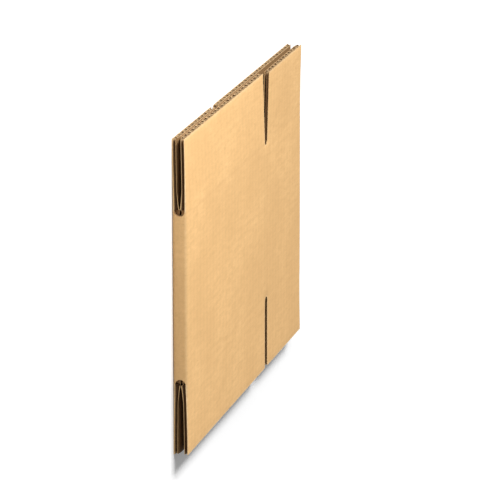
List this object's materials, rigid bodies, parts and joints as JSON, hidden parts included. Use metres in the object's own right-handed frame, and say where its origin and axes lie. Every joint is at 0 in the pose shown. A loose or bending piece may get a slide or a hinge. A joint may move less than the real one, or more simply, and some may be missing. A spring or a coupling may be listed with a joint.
{
  "type": "flattened cardboard box",
  "caption": "Plain slotted shipping box of single-wall corrugated kraft board, glued at its side lap and folded flat.",
  "frame": {"origin": "middle of the flat box's lower face, which it rests on", "axes": "+X from the near fold to the far fold, +Y along the flutes towards the top flaps, +Z out of the upper face"},
  "size_m": [0.313, 0.211, 0.0113],
  "materials": {
    "kraft_board": "matt unbleached kraft liner, with a darker fluted medium at the cut edges"
  },
  "bodies": {
    "root": {"flattened_box": "kraft_board"}
  },
  "joints": []
}
